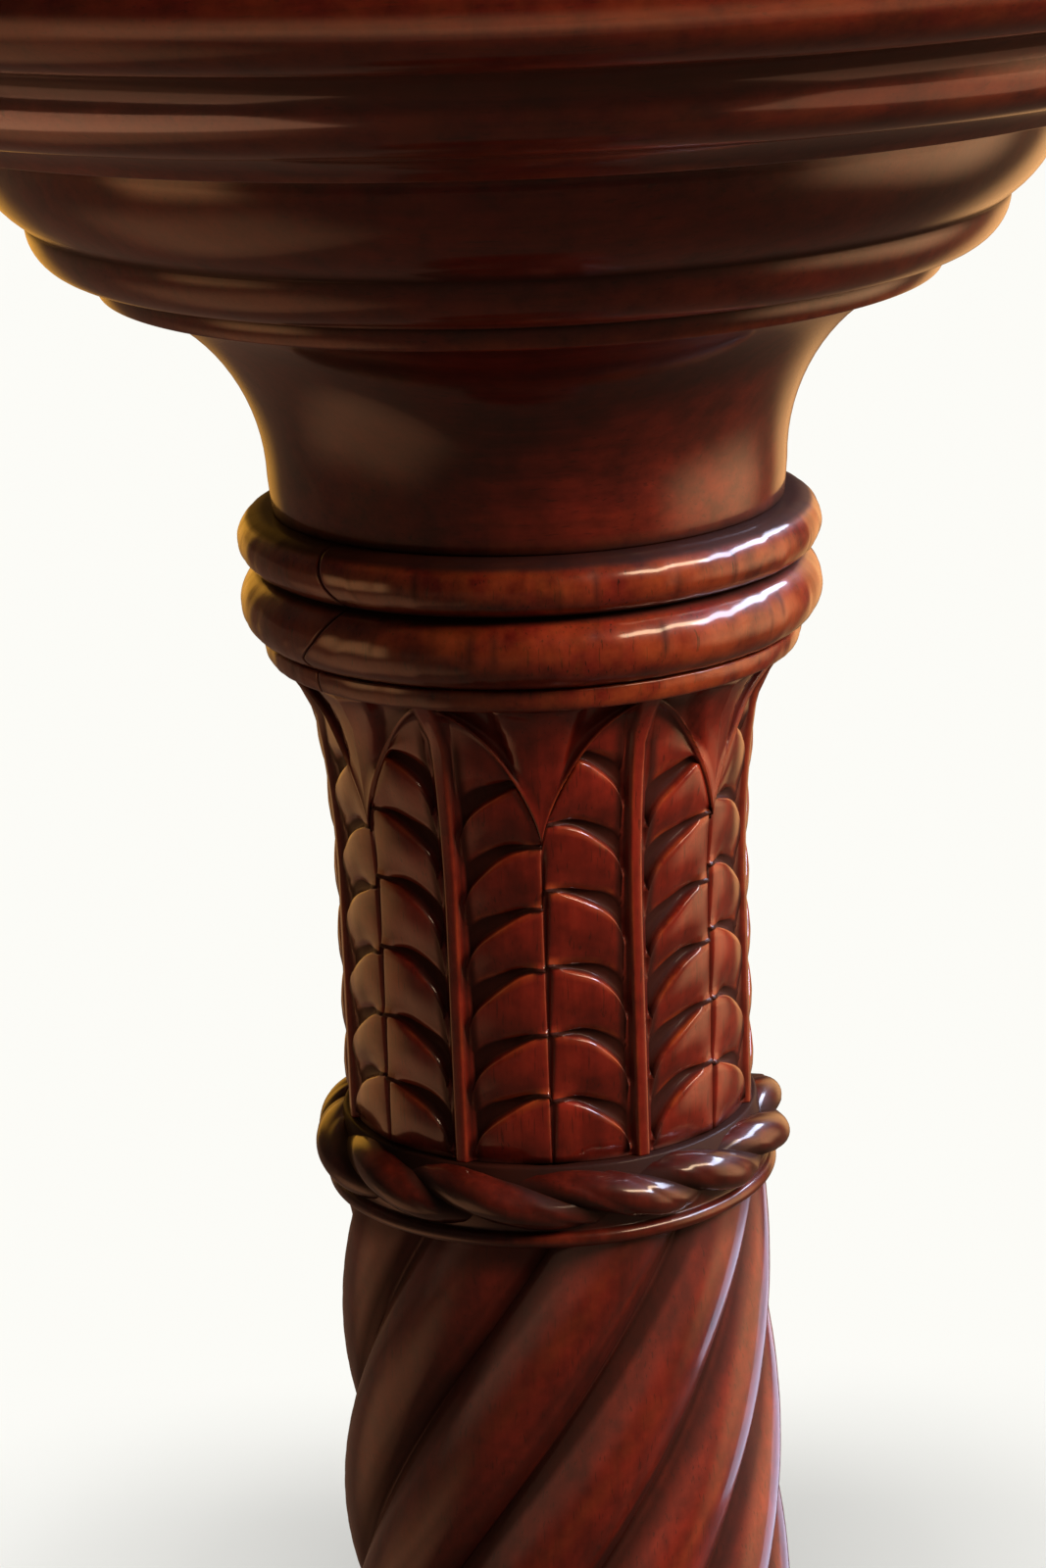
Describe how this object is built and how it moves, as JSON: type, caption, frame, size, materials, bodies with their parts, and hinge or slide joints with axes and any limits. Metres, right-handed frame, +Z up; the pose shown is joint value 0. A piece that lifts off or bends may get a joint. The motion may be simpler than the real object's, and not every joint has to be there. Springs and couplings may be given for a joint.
{
  "type": "torchere stand",
  "caption": "Tall round wooden stand: moulded top on a flared capital, leaf-carved neck, rope collars and a spirally reeded shaft, on a moulded plinth with bun feet.",
  "frame": {"origin": "on the floor, under the axis of the column", "axes": "+Z up along the column, -Y towards the front of the picture, +X to its right"},
  "size_m": [0.3719, 0.3718, 1.12],
  "materials": {
    "polished_mahogany": "turned mahogany, stained dark red and french polished",
    "carved_mahogany": "carved mahogany, stained dark red and french polished, dark wax in the hollows",
    "bare_wood": "unpolished hardwood, hidden in the joints",
    "screw_steel": "bare steel wood screws, dulled with age"
  },
  "bodies": {
    "root": {"top_board": "polished_mahogany", "upper_moulding": "polished_mahogany", "capital_boss": "polished_mahogany", "bell_neck": "polished_mahogany", "base_ring": "polished_mahogany", "base_bell": "polished_mahogany", "base_boss": "polished_mahogany", "base_moulding": "polished_mahogany", "base_plinth": "polished_mahogany", "bun_foot_1": "polished_mahogany", "bun_foot_2": "polished_mahogany", "bun_foot_3": "polished_mahogany", "bun_foot_4": "polished_mahogany", "carved_neck": "carved_mahogany", "upper_rope_collar": "carved_mahogany", "twist_shaft": "carved_mahogany", "lower_rope_collar": "carved_mahogany", "capital_wedge": "bare_wood", "base_wedge": "bare_wood", "boss_screws": "screw_steel", "top_screws": "screw_steel", "base_screws": "screw_steel"}
  },
  "joints": []
}
